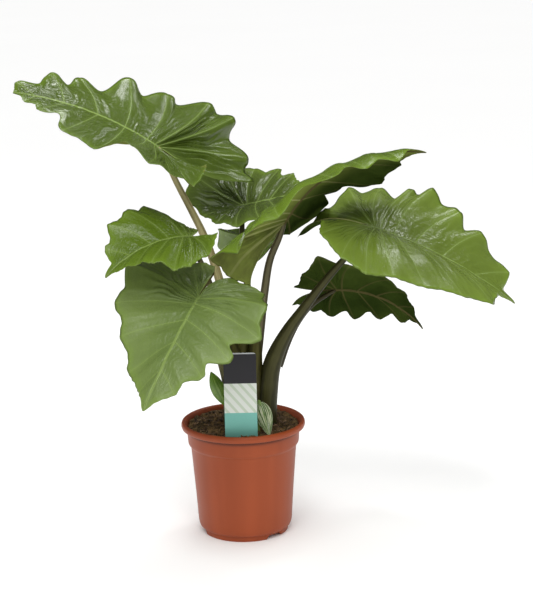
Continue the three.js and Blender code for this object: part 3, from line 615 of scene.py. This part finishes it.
def blade_map(leaf, x, y, seed, pucker):
    """The flat place, wave and vein distances for grid places x (-1 to 1, right to left) and y (0 to 1)."""
    sides = np.where(x > 0, 1, -1)
    count = len(leaf["origins"])
    at = np.clip(y * count, 0, count - 1e-9)
    i = at.astype(int)
    between = np.clip(y * count - i, 0, 1)
    left, right = vein_table(leaf, "left"), vein_table(leaf, "right")
    is_left, u = (sides > 0)[:, None], between[:, None]
    rows = (np.maximum(i - 1, 0), i, i + 1, np.minimum(i + 2, count))
    before, first, second, after = [np.where(is_left, left[row], right[row]) for row in rows]
    mixed = first + (second - first) * u
    turn_in = (second - before) * 0.5 - (second - first)
    turn_out = (after - first) * 0.5 - (second - first)
    rounded = mixed + CREST_ROUND * (turn_in * (u - 2 * u**2 + u**3) + turn_out * (u**3 - u**2))
    (origin, _, _, rise, _), (_, a_edge, b_edge, _, _) = mixed.T, rounded.T
    chord = np.hypot(second[:, 1] - first[:, 1], second[:, 2] - first[:, 2])
    wave = np.abs(np.sin(math.pi * between)) ** WAVE_POWER
    nibble = np.sin(9.7 * at + seed) * np.sin(4.3 * at + 2 * sides) + 0.6 * np.sin(23 * at + 3 * seed)
    drawn = first[:, 4] * chord * wave + MARGIN_NIBBLE * nibble * np.minimum(1, b_edge / 30)
    to_a, to_b = np.maximum(DRAWN_TO * leaf["length"], 0.8 * a_edge) - a_edge, -b_edge
    span = np.hypot(to_a, to_b)
    a_edge = a_edge + to_a / span * drawn
    b_edge = np.maximum(b_edge + to_b / span * drawn, TIP_HALF)
    reach = np.hypot(a_edge - origin, b_edge)
    n = np.abs(x) * COLUMNS
    near = np.interp(n, range(len(RIB_STEPS)), RIB_STEPS) / np.maximum(reach, RIB_STEPS[-1] * 1.5)
    start = RIB_STEPS[-1] / np.maximum(reach, RIB_STEPS[-1] * 1.5)
    far = start + (1 - start) * (n - len(RIB_STEPS) + 1) / (COLUMNS - len(RIB_STEPS) + 1)
    t = np.where(n <= len(RIB_STEPS) - 1, near, far)
    inner = np.where(i == 0, 1 - between, 0)
    bulge = LOBE_BULGE * reach * inner**2 * np.sin(math.pi * t)
    bow = VEIN_BOW * b_edge * np.sin(math.pi * t)
    a = origin + (a_edge - origin) * t - bulge * b_edge / reach - bow
    b_least = np.minimum(b_edge * t, 1.2 * np.minimum(1, t * 20))
    b = np.maximum(b_edge * t - bulge * np.abs(a_edge) / reach, b_least)
    spacing = np.hypot((second[:, 1] - first[:, 1]) * t + (second[:, 0] - first[:, 0]) * (1 - t),
                       (second[:, 2] - first[:, 2]) * t)
    wave_height = np.where(sides > 0, leaf["left"][2], leaf["right"][2])
    lift = wave_height * wave * t * t * np.minimum(1, reach / 100)
    phase = seed * 2.1
    wobble = np.sin(3.1 * t * reach / 40 + 2.3 * at + phase) * np.sin(1.7 * at - phase) * WOBBLE * t**2
    quilt = QUILT * wave * np.sin(math.pi * np.minimum(1, t * 1.05)) ** 0.8 * np.minimum(1, spacing / 30)
    basal = np.clip(3.4 - at, 0, 1)
    fine = RIPPLES * at + 0.4 * np.sin(7 * t + 2.6 * at + phase) + 0.2 * np.sin(17 * t - 5.1 * at)
    ripple = (RIPPLE + BASAL_RIPPLE * basal * np.exp(-9 * (t - 0.4) ** 2)) * np.sin(2 * math.pi * fine)
    ripple = pucker * ripple * np.minimum(1, spacing / 12) * np.minimum(1, wave * 3)
    ripple = ripple * np.sin(math.pi * np.clip(t * 0.9 + 0.1, 0, 1)) ** 0.5
    lift = lift + (wobble + quilt * (1 - 0.5 * basal) + ripple) * np.minimum(1, reach / 60)
    return dict(sides=sides, a=a, b=b, rise=rise, lift=lift, t=t, origin=origin,
                vein=np.minimum(between, 1 - between) * spacing, edge=(1 - t) * reach, fine=fine)


def blade_mesh(leaf, seed, pucker):
    """The upper and the lower face of a blade, closed along the margin."""
    mesh = bmesh.new()
    kept = [("vein", "vein"), ("rib", "b"), ("edge", "edge"), ("fine", "fine"), ("share", "t")]
    layers = {key: mesh.verts.layers.float.new(name) for name, key in kept}
    weave = mesh.verts.layers.float_vector.new("weave")
    rows = ROWS_PER_VEIN * len(leaf["origins"])
    for face in (1, -1):
        made = bmesh.ops.create_grid(mesh, x_segments=2 * COLUMNS, y_segments=rows, size=1)["verts"]
        grid = np.array([v.co for v in made])
        flat = blade_map(leaf, -grid[:, 0], (grid[:, 1] + 1) / 2, seed, pucker)
        fade = 1 - 0.8 * np.clip(flat["origin"], 0, None) / leaf["length"]
        rib = np.exp(-(flat["b"] / (RIB_WIDTH * fade)) ** 2) * fade
        vein_width = VEIN_WIDTH - 1.0 * flat["t"]
        vein = np.exp(-(flat["vein"] / vein_width) ** 2) * (1 - 0.7 * flat["t"]) * fade**0.5
        lift = flat["lift"] + RIB_LIFT * rib - VEIN_GROOVE * vein
        if face < 0:
            body = THICKNESS + RIB_DEPTH * rib + VEIN_DEPTH * vein * (1 - rib)
            outermost = (np.abs(grid[:, 0]) > 1 - 1e-6) | (np.abs(grid[:, 1]) > 1 - 1e-6)
            lift = lift - np.where(outermost, 0, body)
        points = blade_points(leaf, flat["sides"], flat["a"], flat["b"], flat["rise"], lift)
        for k, v in enumerate(made):
            v.co = Vector(points[k]) * MM
            for key, layer in layers.items():
                v[layer] = flat[key][k]
            v[weave] = Vector((flat["fine"][k], flat["t"][k] * 4, flat["sides"][k]))
        if face < 0:
            under = set(made)
            lower = [f for f in mesh.faces if f.verts[0] in under]
            bmesh.ops.reverse_faces(mesh, faces=lower)
            for f in lower:
                f.material_index = 1
    rim = [v for v in mesh.verts if v.is_boundary]
    bmesh.ops.remove_doubles(mesh, verts=rim, dist=1e-6)
    return mesh


def upper_look(deep, light, vein_colour, gloss):
    def look(flow):
        place = flow.place()
        broad = flow.noise(place, 9, 3)
        mottle = flow.noise(place, 70, 3, 0.6)
        vein, rib, edge = flow.named("vein"), flow.named("rib"), flow.named("edge")
        fine, share = flow.named("fine"), flow.named("share")
        tone = broad.step(0.35, 0.65) * 0.4 + mottle * 0.2 + share * share * 0.45
        colour = tone.mix(deep, light)
        colour = (edge.step(16, 1) * 0.35).mix(colour, MARGIN_GREEN)
        threads = flow.maths("COSINE", fine * 2 * math.pi).step(0.7, 1.0)
        colour = (threads * 0.06).mix(colour, vein_colour)
        side_vein = vein.step(0.95, 0.3) * (1 - share * 0.6)
        colour = (side_vein * 0.8).mix(colour, vein_colour)
        colour = (vein.step(5.0, 0.5) * 0.15).mix(colour, vein_colour)
        colour = (rib.step(3.2, 1.6) * 0.85).mix(colour, vein_colour)
        colour = (edge.step(1.4, 0.2) * 0.4).mix(colour, vein_colour)
        net = flow.cells(place, 260).step(0.0, 0.12)
        blister = flow.noise(flow.place("weave", (0.9, 3.2, 1)), 1.0, 2, 0.45)
        height = mottle * 0.4 + net * 0.25 + blister * 5.5 * (1.15 - share) - side_vein * 0.8
        rough = gloss + mottle * 0.1
        return {"Base Color": colour, "Roughness": rough, "Normal": flow.bump(height, 0.45 * MM, 0.8)}
    return look


def lower_look(dark, light, rib_colour):
    def look(flow):
        place = flow.place()
        broad = flow.noise(place, 12, 3)
        vein, rib, share = flow.named("vein"), flow.named("rib"), flow.named("share")
        # Painted light: undersides towards the front of the plant are painted a lighter olive, with paler side
        # veins, as if lit from the front and through the leaf.
        front_lit = place.axis("Y").step(0.0, -0.06)
        colour = broad.step(0.3, 0.7).mix(dark, light)
        colour = (front_lit * 0.85).mix(colour, broad.step(0.4, 0.6).mix(LIT_FRONT_UNDERSIDE, LIT_FRONT_FOLDS))
        side_vein = vein.step(2.2, 0.9) * (1 - share * 0.7)
        colour = (side_vein * 0.7).mix(colour, front_lit.mix(rib_colour, LIT_FRONT_VEINS))
        colour = rib.step(3.4, 2.2).mix(colour, rib_colour)
        net = flow.cells(place, 240).step(0.0, 0.15)
        return {"Base Color": colour, "Normal": flow.bump(net, 0.25 * MM, 0.6)}
    return look


YELLOW_GREEN = rgb(0.22, 0.31, 0.075)
MARGIN_GREEN = rgb(0.16, 0.26, 0.02)
# Painted light on the front undersides: lighter olives for the face, its folds and its veins. The veins are
# real, but their paleness here is painted light.
LIT_FRONT_UNDERSIDE, LIT_FRONT_FOLDS = rgb(0.23, 0.28, 0.06), rgb(0.15, 0.17, 0.045)
LIT_FRONT_VEINS = rgb(0.4, 0.42, 0.17)
BLADE_TONES = {
    "top_left": (rgb(0.058, 0.092, 0.01), rgb(0.08, 0.125, 0.014), 0.17),
    "mid_left": (rgb(0.078, 0.13, 0.009), rgb(0.12, 0.19, 0.014), 0.22),
    "front_left": (rgb(0.115, 0.17, 0.04), rgb(0.158, 0.22, 0.056), 0.3),
    # The back blade's greens are darkened as painted shade, from the top left blade that hangs over it.
    "back": (rgb(0.045, 0.07, 0.01), rgb(0.085, 0.125, 0.02), 0.14),
    "centre": (rgb(0.065, 0.11, 0.007), rgb(0.125, 0.2, 0.013), 0.2),
    "right": (rgb(0.1, 0.145, 0.02), rgb(0.15, 0.22, 0.029), 0.18),
    # The lower right blade's greens are darkened as painted shade, as it lies under the right blade.
    "lower_right": (rgb(0.03, 0.06, 0.008), rgb(0.055, 0.1, 0.014), 0.25),
}
# The undersides are painted a darker green than the leaf's own underside. This is painted shade for the floor
# light that does not reach under the blades.
look = lower_look(rgb(0.02, 0.034, 0.006), rgb(0.04, 0.062, 0.011), rgb(0.09, 0.08, 0.03))
underside = finish("blade_underside", look, Roughness=0.6, Specular_IOR_Level=0.0)
for number, (name, leaf) in enumerate(LEAVES.items()):
    deep, light, gloss = BLADE_TONES[name]
    top = finish(f"blade_{name}", upper_look(deep, light, YELLOW_GREEN, gloss), Specular_IOR_Level=0.4)
    piece(f"leaf_{name}", blade_mesh(leaf, number, PUCKER[name]), [top, underside], "leaf", f"blade_{name}")

# ---- leaf stalks -----------------------------------------------------------------------------------------
# Each blade hangs on a long fleshy stalk that is round, with a shallow channel, and widens down to the sheath
# at its foot. A stalk is a tube along its blade's list of places, and it ends inside the blade's midrib.
STALK_SIDES, STALK_STEPS = 20, 70
CHANNEL, CHANNEL_HALF, STALK_RIDGE = 0.16, 0.5, 0.02
STALK_STOP, STALK_NECK = 3.4, 0.8


def stalk_section(turn, share):
    """A shallow channel along the stalk's upper side, and faint ridges."""
    channel = CHANNEL * math.exp(-(((turn + math.pi / 2) / CHANNEL_HALF) ** 2))
    return 1 - channel + STALK_RIDGE * math.cos(5 * turn + 3 * share)


def stalk_look(dark, light, stripe):
    def look(flow):
        skin = flow.named("skin", "Vector")
        turn = flow.maths("ARCTAN2", skin.axis("Y"), skin.axis("X"))
        off = flow.maths("ABSOLUTE", turn + math.pi / 2)
        streak = flow.noise(flow.place("skin", (1, 1, 0.05)), 420, 4, 0.6)
        flecks = flow.noise(flow.place("skin", (1, 1, 0.3)), 900, 2)
        broad = flow.noise(flow.place("skin"), 22, 2)
        colour = streak.step(0.3, 0.7).mix(dark, light)
        colour = (flecks.step(0.6, 0.75) * 0.4).mix(colour, stripe)
        colour = (broad.step(0.5, 0.7) * 0.35).mix(colour, stripe)
        colour = (off.step(0.55, 0.35) * 0.45).mix(colour, stripe)
        colour = (off.step(0.5, 0.75) * off.step(1.1, 0.8) * 0.55).mix(colour, dark)
        height = streak * 0.7 + flecks * 0.3
        return {"Base Color": colour, "Normal": flow.bump(height, 0.4 * MM, 0.7)}
    return look


STALK_TONES = {
    "top_left": (rgb(0.2, 0.165, 0.07), rgb(0.44, 0.38, 0.17), rgb(0.52, 0.46, 0.24)),
    "mid_left": (rgb(0.06, 0.055, 0.018), rgb(0.11, 0.1, 0.036), rgb(0.16, 0.15, 0.06)),
    "front_left": (rgb(0.06, 0.055, 0.018), rgb(0.11, 0.1, 0.036), rgb(0.16, 0.15, 0.06)),
    "back": (rgb(0.05, 0.045, 0.016), rgb(0.09, 0.08, 0.03), rgb(0.14, 0.13, 0.06)),
    "centre": (rgb(0.045, 0.038, 0.016), rgb(0.085, 0.07, 0.03), rgb(0.19, 0.17, 0.09)),
    "right": (rgb(0.022, 0.021, 0.005), rgb(0.047, 0.045, 0.012), rgb(0.08, 0.076, 0.022)),
    "lower_right": (rgb(0.025, 0.021, 0.008), rgb(0.045, 0.038, 0.014), rgb(0.07, 0.06, 0.025)),
}
for name, leaf in LEAVES.items():
    mesh = bmesh.new()
    joint, below = Vector(leaf["stalk"][0][:3]), Vector(leaf["stalk"][1][:3])
    inside = joint + (below - joint).normalized() * STALK_STOP
    route = [(*inside, leaf["stalk"][0][3] * STALK_NECK), *leaf["stalk"][1:]]
    tube(mesh, route[::-1], STALK_SIDES, STALK_STEPS, stalk_section)
    bmesh.ops.recalc_face_normals(mesh, faces=mesh.faces[:])
    skin = finish(f"stalk_{name}", stalk_look(*STALK_TONES[name]), Roughness=0.45, Specular_IOR_Level=0.2)
    piece(f"leaf_stalk_{name}", mesh, [skin], "stalk", f"petiole_{name}")

# ---- crown -----------------------------------------------------------------------------------------------
# The stalks' feet widen into sheaths that clasp each other and make the plant's short trunk. Each sheath is a
# wide tapering tube from the peat up to its stalk, and together they grow out of one stem.
SHEATH_SIDES, SHEATH_STEPS, SHEATH_FOLD = 28, 30, 0.05
SHEATHS = [
    [(-4, 2, 150, 20), (-4, 3, 190, 22), (-3, 5, 240, 20), (-2, 7, 300, 17), (4, 9, 350, 11),
     (7, 10, 364, 6)],
    [(-14, -5, 150, 14), (-17, -7, 190, 16), (-19, -11, 230, 13), (-20, -15, 275, 9.8)],
    [(8, 1, 150, 14), (12, 0, 200, 17), (17, -3, 250, 17.5), (22, -4, 300, 13), (27, -5, 352, 8.6)],
    [(0, 8, 150, 12), (4, 10, 200, 15), (9, 12, 250, 14), (13, 16, 305, 11), (13, 30, 345, 7.8)],
    [(-8, -8, 150, 13), (-6, -9, 200, 15), (-6, -10, 250, 14), (-8, -8, 300, 11), (-14, -6, 330, 8.6)],
]
mesh = bmesh.new()
for number, places in enumerate(SHEATHS):
    tube(mesh, places, SHEATH_SIDES, SHEATH_STEPS,
         lambda turn, share: 1 + SHEATH_FOLD * math.cos(3 * turn + number) * (1 - share))
bmesh.ops.recalc_face_normals(mesh, faces=mesh.faces[:])
look = stalk_look(rgb(0.03, 0.027, 0.005), rgb(0.065, 0.06, 0.013), rgb(0.12, 0.11, 0.03))
crown_skin = finish("crown_sheath", look, Roughness=0.55, Specular_IOR_Level=0.15)
piece("stem_crown", mesh, [crown_skin], "crown_sheath", "crown")

# ---- offset leaves ---------------------------------------------------------------------------------------
# Two small green leaves of a young offset beside the label. The glints on their glossy crinkles are painted as
# streaks: a few faint pale ones on the left leaf, and many cream-white ones on the right leaf.
# Each is a cupped blade, two grids that meet at the margin, on a thin stalk.
OFFSET_LEAVES = {
    "left": dict(foot=(-24, -52, 150), neck=(-27, -48, 230), tip=(-51, -42, 289), half=12, bow=7, belly=1.05),
    "right": dict(foot=(24, -46, 150), neck=(29, -58, 240), tip=(44, -76, 186), half=14, bow=-6, belly=0.7),
}
# Each leaf: deep and light green, the colour of its painted glint streaks, and how strongly they show.
OFFSET_TONES = {
    "left": (rgb(0.045, 0.11, 0.008), rgb(0.12, 0.24, 0.014), rgb(0.28, 0.4, 0.1), 0.5),
    "right": (rgb(0.045, 0.1, 0.02), rgb(0.1, 0.18, 0.04), rgb(0.62, 0.64, 0.44), 0.95),
}
OFFSET_SLOTS = {"left": "offset_leaf", "right": "variegated_leaf"}
OFFSET_COLUMNS, OFFSET_ROWS = 20, 36
OFFSET_CUP, OFFSET_RIB, OFFSET_RIB_HALF = 0.35, 1.0, 0.08
OFFSET_STALK_SIDES, OFFSET_STALK_STEPS = 12, 20


def offset_point(leaf, s, t, depth):
    """A place on a small leaf: s from margin to margin, t from neck to tip, depth mm below the upper face."""
    neck, tip = Vector(leaf["neck"]), Vector(leaf["tip"])
    along = tip - neck
    across = Vector((0, 1, 0)).cross(along).normalized()
    face = across.cross(along).normalized()
    half = max(leaf["half"] * math.sin(math.pi * t ** leaf["belly"]) ** 0.8, 0.4)
    ripple = 0.5 * math.sin(26 * t + 4 * abs(s)) * s * s
    lift = leaf["bow"] * math.sin(math.pi * t) - OFFSET_CUP * half * s * s + ripple - depth
    return neck + along * t - across * (s * half) + face * lift


def offset_look(deep, light, glint_colour, glint_amount):
    def look(flow):
        streak = flow.noise(flow.place("leaf_place", (1, 0.16, 1)), 9, 4, 0.6)
        broad = flow.noise(flow.place(), 60, 2)
        rib = flow.named("leaf_rib")
        colour = broad.mix(deep, light)
        # Painted highlights: the streak mask lays pale glint colour along the leaf's crinkles.
        colour = (streak.step(0.5, 0.57) * glint_amount).mix(colour, glint_colour)
        colour = (rib.step(0.08, 0.03) * 0.5).mix(colour, rgb(0.3, 0.42, 0.12))
        return {"Base Color": colour, "Normal": flow.bump(streak + broad, 0.3 * MM, 0.6)}
    return look


for name, leaf in OFFSET_LEAVES.items():
    mesh = bmesh.new()
    rib = mesh.verts.layers.float.new("leaf_rib")
    flat = mesh.verts.layers.float_vector.new("leaf_place")
    for side in (1, -1):
        made = bmesh.ops.create_grid(mesh, x_segments=OFFSET_COLUMNS, y_segments=OFFSET_ROWS, size=1)["verts"]
        for v in made:
            s, t = v.co.x, (v.co.y + 1) / 2
            rim = abs(s) > 1 - 1e-6 or t < 1e-6 or t > 1 - 1e-6
            below = THICKNESS + OFFSET_RIB * math.exp(-((s / OFFSET_RIB_HALF) ** 2))
            depth = 0 if side > 0 or rim else below
            v[rib], v[flat] = abs(s), Vector((s, t, 0))
            v.co = offset_point(leaf, s, t, depth) * MM
    bmesh.ops.remove_doubles(mesh, verts=[v for v in mesh.verts if v.is_boundary], dist=1e-6)
    inside = Vector(leaf["neck"]).lerp(Vector(leaf["tip"]), 0.12)
    middle = Vector(leaf["foot"]).lerp(Vector(leaf["neck"]), 0.5)
    places = [(*leaf["foot"], 2.4), (*middle, 2.4), (*leaf["neck"], 2.0), (*inside, 1.6)]
    tube(mesh, places, OFFSET_STALK_SIDES, OFFSET_STALK_STEPS)
    bmesh.ops.recalc_face_normals(mesh, faces=mesh.faces[:])
    skin = finish(f"offset_leaf_{name}", offset_look(*OFFSET_TONES[name]), Roughness=0.3)
    piece(f"small_leaf_{name}", mesh, [skin], OFFSET_SLOTS[name], f"offset_leaf_{name}")
